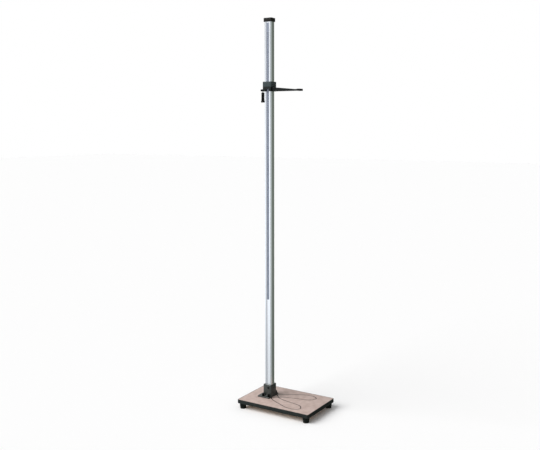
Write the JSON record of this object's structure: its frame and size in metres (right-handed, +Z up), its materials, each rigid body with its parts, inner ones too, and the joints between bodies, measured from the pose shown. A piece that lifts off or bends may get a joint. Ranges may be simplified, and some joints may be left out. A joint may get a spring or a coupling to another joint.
{
  "type": "stadiometer",
  "caption": "Free-standing stadiometer: foot board on rubber feet, scaled aluminium column, and a sliding headboard arm with a clamp lever.",
  "frame": {"origin": "on the floor, under the middle of the foot board", "axes": "+Z up the column, +X from the heel end to the toe end, the way the headboard arm points, +Y to the standing person's left"},
  "size_m": [0.45, 0.3, 2.128],
  "materials": {
    "board_core": "raw particle board",
    "deck_laminate": "pale pink mottled laminate with thin foot outlines",
    "edge_band": "black moulded edge",
    "foot_rubber": "moulded black rubber",
    "zinc_steel": "bright zinc plate",
    "bracket_black": "black powder coat on a casting",
    "black_steel": "blackened",
    "column_aluminium": "satin clear anodised extrusion",
    "cap_plastic": "black moulded",
    "scale_strip": "silver grey film with a plain numbered scale",
    "housing_plastic": "dark grey moulded, fine texture",
    "liner_acetal": "smooth",
    "headboard_plastic": "black moulded",
    "tip_rubber": "soft black",
    "brass_insert": "turned",
    "pad_nylon": "natural nylon",
    "grip_plastic": "black moulded"
  },
  "bodies": {
    "stand": {"base_core": "board_core", "foot_deck": "deck_laminate", "edge_band": "edge_band", "foot_1": "foot_rubber", "foot_2": "foot_rubber", "foot_3": "foot_rubber", "foot_4": "foot_rubber", "foot_washer_1": "zinc_steel", "foot_washer_2": "zinc_steel", "foot_washer_3": "zinc_steel", "foot_washer_4": "zinc_steel", "foot_screw_1": "zinc_steel", "foot_screw_2": "zinc_steel", "foot_screw_3": "zinc_steel", "foot_screw_4": "zinc_steel", "column_bracket": "bracket_black", "flange_bolt_1": "black_steel", "flange_bolt_2": "black_steel", "flange_bolt_3": "black_steel", "flange_bolt_4": "black_steel", "flange_washer_1": "black_steel", "flange_washer_2": "black_steel", "flange_washer_3": "black_steel", "flange_washer_4": "black_steel", "flange_nut_1": "zinc_steel", "flange_nut_2": "zinc_steel", "flange_nut_3": "zinc_steel", "flange_nut_4": "zinc_steel", "socket_bolt_left": "black_steel", "socket_bolt_right": "black_steel", "column": "column_aluminium", "column_cap": "cap_plastic", "scale_strip_left": "scale_strip", "scale_strip_right": "scale_strip"},
    "slider": {"slider_housing": "housing_plastic", "guide_liner_lower": "liner_acetal", "guide_liner_upper": "liner_acetal", "headboard": "headboard_plastic", "headboard_tip": "tip_rubber", "collar_screw_1": "black_steel", "collar_screw_2": "black_steel", "collar_screw_3": "black_steel", "collar_screw_4": "black_steel", "thread_insert": "brass_insert"},
    "lock_lever": {"clamp_screw": "zinc_steel", "lever_eye": "black_steel", "lever_knob": "grip_plastic", "lever_stem": "zinc_steel", "lever_grip": "grip_plastic", "grip_end_cap": "tip_rubber"},
    "brake": {"brake_pad": "pad_nylon"}
  },
  "joints": [
    {"name": "height_slide", "type": "slide", "parent": "stand", "child": "slider", "axis": [0, 0, 1], "range_m": [-1.62, 0.312]},
    {"name": "lever_turn", "type": "hinge", "parent": "slider", "child": "lock_lever", "pos_m": [-0.1471, 0, 1.751], "axis": [1, 0, 0], "range_deg": [0, 90]},
    {"name": "pad_press", "type": "slide", "parent": "slider", "child": "brake", "axis": [1, 0, 0], "range_m": [0, 0.0003]}
  ],
  "couplings": [
    {"joint": "pad_press", "follows": "lever_turn", "m_per_rad": 0.00015915}
  ]
}
